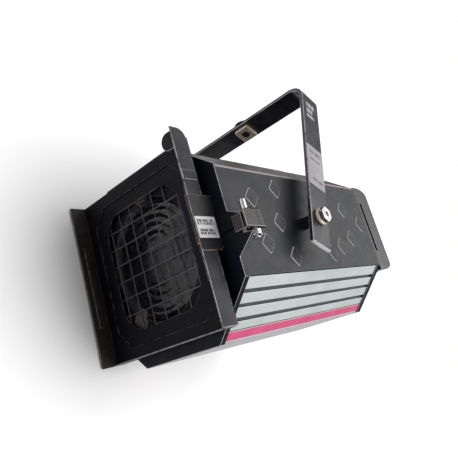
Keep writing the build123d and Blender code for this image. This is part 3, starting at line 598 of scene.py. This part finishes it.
metalPieces = {
    "base_panel": ("housing", "fin_aluminium", "base", 0.3),
    "guide_rods": ("housing", "bright_steel", "nickel", 0.3),
    "rod_rest": ("housing", "zinc_steel", "zinc", 0.3),
    "heat_baffle": ("housing", "zinc_steel", "zinc", 0.2),
    "pivot_bolts": ("housing", "bright_steel", "nickel", 0.3),
    "pivot_flange_washers": ("housing", "brass_plate", "passivated", 0.3),
    "pivot_nuts": ("housing", "bright_steel", "nickel", 0.4),
    "body_hinge_leaf": ("housing", "zinc_steel", "zinc", 0.2),
    "hinge_pin": ("housing", "bright_steel", "nickel", 0.2),
    "latch_bracket": ("housing", "dark_steel", "bronzed", 0.25),
    "latch_pin": ("housing", "bright_steel", "nickel", 0.2),
    "body_screws": ("housing", "zinc_steel", "zinc", 0.3),
    "door_hinge_leaf": ("lens_door", "zinc_steel", "zinc", 0.2),
    "lens_ring": ("lens_door", "zinc_steel", "zinc", 0.3),
    "lens_clips": ("lens_door", "bright_steel", "clip", 0.2),
    "catch_rivet": ("lens_door", "zinc_steel", "zinc", 0.3),
    "lamp_tray": ("lamp_carriage", "zinc_steel", "zinc", 0.3),
    "reflector": ("lamp_carriage", "mirror_aluminium", "mirror", 0.2),
    "reflector_stay": ("lamp_carriage", "zinc_steel", "zinc", 0.3),
    "lamp_filament": ("lamp_carriage", "tungsten", "tungsten", 0.1),
    "lead_screw": ("focus_screw", "bright_steel", "nickel", 0.3),
    "hanging_bolt": ("yoke", "dark_steel", "bronzed", 0.3),
    "hanging_nut": ("yoke", "dark_steel", "bronzed", 0.4),
    "square_nut": ("yoke", "brass_plate", "passivated", 0.5),
}
finishNodes(metalPieces, lambda key: (metals[key],))
print("metal pieces finished")

mouldedPieces = {
    "cable_gland": ("housing", "black_plastic", "knob", 0.4),
    "terminal_block": ("housing", "ceramic", "ceramic", 0.6),
    "lampholder": ("lamp_carriage", "ceramic", "ceramic", 0.8),
    "lamp_base": ("lamp_carriage", "ceramic", "ceramic", 0.5),
    "focus_knob": ("focus_screw", "black_plastic", "knob", 0.6),
    "friction_washers": ("yoke", "black_plastic", "knob", 0.2),
    "latch_label": ("lens_door", "white_label", "paper", 0.06),
    "yoke_label": ("yoke", "white_label", "lilacPaper", 0.06),
}
finishNodes(mouldedPieces, lambda key: (plastics[key],))
print("moulded pieces finished")

# side sheets with embossed diamonds
sideSheet = {"thickness": 1.2, "bendRadius": 1.6, "bendSteps": 5, "rise": 0.7, "edge": 0.25, "edgeAngle": 40,
             "close": 0.02, "near": 0.1, "uprightLean": 0.05, "slopeArea": 0.005}
diamondLook = {"halfLong": 10.0, "halfTall": 10.5, "cornerRadius": 1.7, "cornerSteps": 4, "sink": 0.2,
               "taper": 0.93, "edge": 0.22}


def diamond(side, look):
    # one pressed diamond on the upright plane through the origin, its border in a pale finish, partly worn paint
    # and partly painted highlight so that all four sides show bright
    clearSelection()
    bpy.ops.mesh.primitive_circle_add(vertices=4, radius=look["halfLong"] * mm, fill_type="NGON",
                                      rotation=(0, side * math.radians(90), 0))
    piece = bpy.context.object
    bpy.ops.object.transform_apply(location=True, rotation=True, scale=True)
    bpy.ops.object.mode_set(mode="EDIT")
    bpy.ops.mesh.select_all(action="SELECT")
    bpy.ops.transform.resize(value=(1, 1, look["halfTall"] / look["halfLong"]))
    bpy.ops.mesh.bevel(offset=look["cornerRadius"] * mm, segments=look["cornerSteps"], affect="VERTICES")
    bpy.ops.transform.translate(value=(-side * look["sink"] * mm, 0, 0))
    pressed = (side * (look["sink"] + sideSheet["rise"]) * mm, 0, 0)
    bpy.ops.mesh.extrude_region_move(TRANSFORM_OT_translate={"value": pressed})
    bpy.ops.transform.resize(value=(1, look["taper"], look["taper"]))
    bpy.ops.mesh.select_all(action="SELECT")
    bpy.ops.mesh.normals_make_consistent(inside=False)
    endEdit()
    piece.data.materials.append(paints["body"])
    piece.data.materials.append(embossed)
    for face in piece.data.polygons:
        face.material_index = 0 if face.normal.x * side > facing else 1
    rim = piece.modifiers.new("rim", "BEVEL")
    rim.width = look["edge"] * mm
    rim.segments = 2
    rim.material = 1
    applyModifiers(piece)
    return piece


def sidePlate(node, look):
    # one sheet folded at the top of the upright side, with the pressed diamonds on it
    low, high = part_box(node)
    side = 1 if high.x > 0 else -1
    face = max(abs(low.x), abs(high.x)) - look["rise"] * mm
    known = fromFrame("known", node)
    corners = [v.co for v in known.data.vertices]
    foldZ = max(v.z for v in corners if abs(abs(v.x) - face) < look["close"] * mm)
    topX = min(abs(v.x) for v in corners if v.z > high.z - look["close"] * mm)
    places = [polygon.center.copy() for polygon in known.data.polygons
              if polygon.normal.x * side > facing and abs(polygon.center.x) > face + look["rise"] / 2 * mm]
    bpy.data.objects.remove(known)
    clearSelection()
    centre = (side * face, (low.y + high.y) / 2, (low.z + foldZ) / 2)
    bpy.ops.mesh.primitive_plane_add(size=1, location=centre, rotation=(0, side * math.radians(90), 0))
    sheet = bpy.context.object
    sheet.scale = (foldZ - low.z, high.y - low.y, 1)
    bpy.ops.object.transform_apply(location=True, rotation=True, scale=True)
    near = look["near"] * mm
    chooseEdges(sheet, lambda a, b: a.z > foldZ - near and b.z > foldZ - near)
    slope = (side * (topX - face), 0, high.z - foldZ)
    bpy.ops.mesh.extrude_edges_move(TRANSFORM_OT_translate={"value": slope})
    endEdit()
    chooseEdges(sheet, lambda a, b: abs(a.z - foldZ) < near and abs(b.z - foldZ) < near)
    bpy.ops.mesh.bevel(offset=look["bendRadius"] * mm, segments=look["bendSteps"], affect="EDGES")
    endEdit()
    sheet.data.materials.append(paints["body"])
    if sheet.data.polygons[0].normal.x * side < 0:
        startEdit(sheet, "FACE")
        bpy.ops.mesh.select_all(action="SELECT")
        bpy.ops.mesh.flip_normals()
        endEdit()
    for material in (foldEdge, paints["slope"], worn["body"]):
        sheet.data.materials.append(material)
    # upright faces keep the body enamel; the slope faces take the lighter brown enamel, painted light; the small
    # fold faces take foldEdge, partly painted highlight
    for polygon in sheet.data.polygons:  # upright side, slope, and the fold between them
        if abs(polygon.normal.z) >= look["uprightLean"]:
            polygon.material_index = 2 if polygon.area > look["slopeArea"] else 1
    wall = sheet.modifiers.new("wall", "SOLIDIFY")
    wall.thickness = look["thickness"] * mm
    wall.offset = -1
    edges = sheet.modifiers.new("edges", "BEVEL")
    edges.limit_method = "ANGLE"
    edges.angle_limit = math.radians(look["edgeAngle"])
    edges.width = look["edge"] * mm
    edges.segments = 2
    edges.material = 3
    applyModifiers(sheet)
    model = diamond(side, diamondLook)
    pressed = []
    for place in places:
        copy = bpy.data.objects.new("pressed", model.data.copy())
        bpy.context.scene.collection.objects.link(copy)
        copy.location = (side * face, place.y, place.z)
        pressed.append(copy)
    bpy.data.objects.remove(model)
    plate = joined(finishedName(node), [sheet, *pressed])
    pick(plate)
    bpy.ops.object.shade_smooth()
    flat = plate.modifiers.new("flat", "WEIGHTED_NORMAL")
    flat.keep_sharp = False
    applyModifiers(plate)
    return settle(plate, "housing", "black_paint", node)


for node in ("side_plate_right", "side_plate_left"):
    sidePlate(node, sideSheet)
print("side sheets ready")

# finned extrusions and their stripes
finLook = {"edge": 0.3, "outer": 1.0, "grooveFrom": 0.25, "deepest": 2.6,
           "ridges": ((52.2, 53.4), (61.5, 62.6))}


def finExtrusion(node, look):
    # faces sunk into the grooves get a darker metal, chosen by their depth below the outer face, and the two thin
    # ridges beside the stripe are painted black
    piece = finish(fromFrame(finishedName(node), node), (metals["fin"], metals["fin"]), look["edge"])
    piece.data.materials.append(metals["groove"])
    piece.data.materials.append(paints["plate"])
    side = 1 if middle(node).x > 0 else -1
    outward, downward = Vector((side, 0, -1)).normalized(), Vector((-side, 0, -1)).normalized()
    reach = max(v.co.dot(outward) for v in piece.data.vertices)
    outer = [v.co for v in piece.data.vertices if reach - v.co.dot(outward) < look["outer"] * mm]
    start = min(corner.dot(downward) for corner in outer)
    for face in piece.data.polygons:
        depth = reach - face.center.dot(outward)
        along = (face.center.dot(downward) - start) / mm
        if any(first < along < last for first, last in look["ridges"]) and depth < look["deepest"] * mm:
            face.material_index = 3
        elif look["grooveFrom"] * mm < depth < look["deepest"] * mm:
            face.material_index = 2
    return settle(piece, "housing", "fin_aluminium", node)


for node in ("fin_extrusion_right", "fin_extrusion_left"):
    finExtrusion(node, finLook)
stripes = finish(fromFrame("magentaStripes", "accent_stripes"), (magentaFilm,), stripeLook["edge"])
settle(stripes, "housing", "stripe_film", "accent_stripes")
print("extrusions and stripes ready")

# wire guard
guardLook = {"radius": 0.5, "pitch": 16.5, "upright": 7, "across": 8, "waver": 0.22, "points": 9,
             "uprightSeed": 7, "acrossSeed": 40}


def guardWire(start, end, look, seed):
    # one drawn wire, a little uneven, from a smooth curve made into a mesh
    waver = random.Random(seed)
    clearSelection()
    bpy.ops.curve.primitive_nurbs_path_add()
    wire = bpy.context.object
    spline = wire.data.splines[0]
    spline.points.add(look["points"] - len(spline.points))
    for index, point in enumerate(spline.points):
        share = index / (look["points"] - 1)
        place = start.lerp(end, share)
        drift = look["waver"] * mm * (0 if index in (0, look["points"] - 1) else 1)
        place.x += waver.uniform(-drift, drift)
        place.z += waver.uniform(-drift, drift)
        point.co = (*place, 1)
    wire.data.bevel_depth = look["radius"] * mm
    wire.data.bevel_resolution = 2
    wire.data.resolution_u = 3
    wire.data.use_fill_caps = True
    bpy.ops.object.convert(target="MESH")
    return bpy.context.object


def wireGuard(look):
    # upright wires behind, and wires across in front of them
    low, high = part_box("wire_guard")
    centre, pitch = middle("wire_guard"), look["pitch"] * mm
    back, front = high.y - look["radius"] * mm, low.y + look["radius"] * mm
    wires = []
    for step in range(look["upright"]):
        x = centre.x + (step - (look["upright"] - 1) / 2) * pitch
        start, end = Vector((x, back, low.z)), Vector((x, back, high.z))
        wires.append(guardWire(start, end, look, look["uprightSeed"] + step))
    for step in range(look["across"]):
        z = centre.z + (step - (look["across"] - 1) / 2) * pitch
        start, end = Vector((low.x, front, z)), Vector((high.x, front, z))
        wires.append(guardWire(start, end, look, look["acrossSeed"] + step))
    guard = joined("wireGuardWelded", wires)
    guard.data.materials.clear()
    guard.data.materials.append(metals["wire"])
    pick(guard)
    bpy.ops.object.shade_smooth_by_angle(angle=math.radians(40))
    return settle(guard, "lens_door", "wire_steel", "wire_guard")


wireGuard(guardLook)
print("wire guard ready")

# lens
lensLook = {"middle": 19.0, "steps": 5, "rise": 4.4, "foot": 0.6, "dome": 2.6, "rim": 3.0, "tip": 0.3,
            "groove": 0.4, "swell": 1.3, "domeSteps": 8, "bandSteps": 4, "sides": 96, "edge": 0.12,
            "edgeAngle": 35}


def steppedLens(look):
    # a domed middle, then stepped rings out to a flat rim
    low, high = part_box("lens")
    radius = (high.x - low.x) / 2 / mm
    depth = (high.y - low.y) / mm
    profile = [(0.0, look["tip"])]
    for step in range(1, look["domeSteps"] + 1):
        share = step / look["domeSteps"]
        profile.append((look["dome"] * share * share, look["middle"] * share))
    band = (radius - look["rim"] - look["middle"]) / look["steps"]
    for step in range(look["steps"]):
        inner = look["middle"] + band * step + look["groove"]
        profile.append((look["foot"], inner))
        for part in range(1, look["bandSteps"] + 1):
            share = part / look["bandSteps"]
            rise = (look["rise"] - look["foot"]) * share ** look["swell"]
            profile.append((look["foot"] + rise, inner + (band - look["groove"]) * share))
    profile += [(look["rise"], radius), (depth, radius), (depth, look["tip"])]
    centre = (0, low.y, (low.z + high.z) / 2)
    lens = turned("steppedLens", centre, (0, 1, 0), profile, look["sides"])
    finish(lens, (glasses["lens"],), look["edge"], 1, look["edgeAngle"])
    return settle(lens, "lens_door", "lens_glass", "lens")


steppedLens(lensLook)

# lamp envelope
envelopeLook = {"radius": 9.2, "shoulder": 9.4, "tip": 0.2, "steps": 8, "sides": 40}


def lampEnvelope(look):
    low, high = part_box("lamp_envelope")
    tall = (high.z - low.z) / mm
    radius, shoulder = look["radius"], look["shoulder"]
    profile = [(0, radius), (tall - shoulder, radius)]
    for step in range(1, look["steps"]):
        turn = math.radians(90 * step / look["steps"])
        profile.append((tall - shoulder + shoulder * math.sin(turn), radius * math.cos(turn)))
    profile.append((tall, look["tip"]))
    centre = middle("lamp_envelope")
    bulb = turned("quartzEnvelope", (centre.x, centre.y, low.z), (0, 0, 1), profile, look["sides"])
    finish(bulb, (glasses["lamp"],), 0)
    return settle(bulb, "lamp_carriage", "lamp_glass", "lamp_envelope")


lampEnvelope(envelopeLook)
print("lens and lamp ready")

# pivot bushes, and the latch lever with its dark glossy cover and brown nose; edges rubbed bright
rubbed = (metals["bronzed"], metals["bronzedEdge"])
bushLook = {"edge": 0.5}
leverLook = {"edge": 0.42, "noseReach": 2.2, "noseFacing": 0.5}
bushes = finish(fromFrame("pivotBushesRubbed", "pivot_bushes"), rubbed, bushLook["edge"])
settle(bushes, "housing", "black_plastic", "pivot_bushes")


def latchLever(look):
    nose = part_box("latch_lever")[0].y + look["noseReach"] * mm
    lever = finish(fromFrame("latchLeverRubbed", "latch_lever"), rubbed, look["edge"])
    lever.data.materials.append(metals["noseBrown"])
    for face in lever.data.polygons:
        if face.material_index == 0 and face.center.y < nose and face.normal.y < -look["noseFacing"]:
            face.material_index = 2
    return settle(lever, "latch_lever", "dark_steel", "latch_lever")


latchLever(leverLook)

# latch spring
springLook = {"wire": 1.0, "turns": 3.5, "steps": 24, "sides": 12}


def latchSpring(look):
    # a round wire section wound up its coil
    low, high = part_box("latch_spring")
    wire = look["wire"] * mm
    radius = (high.x - low.x) / 2 - wire
    clearSelection()
    bpy.ops.mesh.primitive_circle_add(vertices=look["sides"], radius=wire, rotation=(math.radians(90), 0, 0))
    spring = bpy.context.object
    spring.name = "latchCoil"
    bpy.ops.object.transform_apply(location=True, rotation=True, scale=True)
    bpy.ops.object.mode_set(mode="EDIT")
    bpy.ops.mesh.select_all(action="SELECT")
    bpy.ops.transform.translate(value=(radius, 0, 0))
    endEdit()
    coil = spring.modifiers.new("coil", "SCREW")
    coil.screw_offset = high.z - low.z - 2 * wire
    coil.angle = math.radians(360 * look["turns"])
    coil.steps = coil.render_steps = int(look["steps"] * look["turns"])
    coil.use_smooth_shade = True
    applyModifiers(spring)
    bpy.ops.object.mode_set(mode="EDIT")
    bpy.ops.mesh.select_all(action="SELECT")
    bpy.ops.mesh.fill_holes(sides=look["sides"])
    bpy.ops.mesh.select_all(action="SELECT")
    bpy.ops.mesh.normals_make_consistent(inside=False)
    endEdit()
    spring.location = ((low.x + high.x) / 2, (low.y + high.y) / 2, low.z + wire)
    spring.data.materials.append(metals["nickel"])
    return settle(spring, "housing", "bright_steel", "latch_spring")


latchSpring(springLook)
print("latch spring ready")


# printed marks, in plain bars; lengths in mm
barLook = {"narrowest": 0.45, "gaps": (0.4, 0.8), "wordGap": 1.7, "wordChance": 0.16, "thickness": 0.06}


def printedBars(name, origin, rows, material, seed):
    # each row holds its drop, bar height, start, end and widest bar; a bar is a thin box on the face
    chance = random.Random(seed)
    thickness, (leastGap, mostGap) = barLook["thickness"], barLook["gaps"]
    clearSelection()
    along, down, out = Vector((0, 1, 0)), Vector((0, 0, -1)), Vector((1, 0, 0))
    bpy.ops.mesh.primitive_cube_add(size=1)
    piece = bpy.context.object
    piece.name = name
    bpy.ops.object.mode_set(mode="EDIT")
    bpy.ops.mesh.select_all(action="SELECT")
    bpy.ops.mesh.delete(type="VERT")
    for drop, height, start, end, widest in rows:
        place = start
        while place < end - leastGap:
            width = min(chance.uniform(barLook["narrowest"], widest), end - place)
            size = along * width + down * height + out * thickness
            spot = Vector(origin) + (along * (place + width / 2) + down * drop + out * thickness / 2) * mm
            bpy.ops.mesh.primitive_cube_add(size=1, location=spot, scale=[abs(side) * mm for side in size])
            place += width
            place += barLook["wordGap"] if chance.random() < barLook["wordChance"] else (
                chance.uniform(leastGap, mostGap))
    endEdit()
    piece.data.materials.append(material)
    return piece


latchPrint = {
    "rows": [(3.7, 2.2, 1.6, 21.4, 2.4), (6.3, 2.2, 1.6, 21.6, 2.0), (12.0, 2.2, 2.8, 20.2, 2.2),
             (14.6, 2.2, 2.4, 20.6, 2.4)],
    "seed": 5,
}
labelLow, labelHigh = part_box("latch_label")
latchMarks = printedBars("latchLabelPrint", (labelHigh.x, labelLow.y, labelHigh.z), latchPrint["rows"],
                         plastics["ink"], latchPrint["seed"])
settle(latchMarks, "lens_door", "white_label")

# marks on the yoke's arm, laid out upright and leaned back with it; drops below zero are above the pivot
armPrint = {
    "labelRows": [(-80.0, 5.0, -9.0, 9.0, 1.5), (-70.0, 3.4, -9.0, 8.0, 1.1), (-44.0, 4.0, -9.0, 9.5, 1.2)],
    "labelSeed": 11,
    "stencilRows": [(-150.6, 6.6, -7.6, 5.6, 1.0), (-141.6, 6.6, -7.6, 3.0, 1.0),
                    (-133.6, 4.2, -7.6, 5.6, 1.0)],
    "stencilSeed": 12,
}


def armMarks(name, x, rows, material, seed):
    pivot = Vector((0, 0, middle("pivot_bolts").z))
    marks = printedBars(name, (x, 0, pivot.z), rows, material, seed)
    marks.rotation_mode = "QUATERNION"
    marks.rotation_quaternion = yokeLean
    marks.location = pivot - yokeLean @ pivot
    return settle(marks, "yoke", "white_label")


armMarks("yokeLabelPrint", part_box("yoke_label")[1].x, armPrint["labelRows"], plastics["greyInk"],
         armPrint["labelSeed"])
armMarks("armStencil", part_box("yoke_strap")[1].x, armPrint["stencilRows"], plastics["paper"],
         armPrint["stencilSeed"])
print("labels printed")
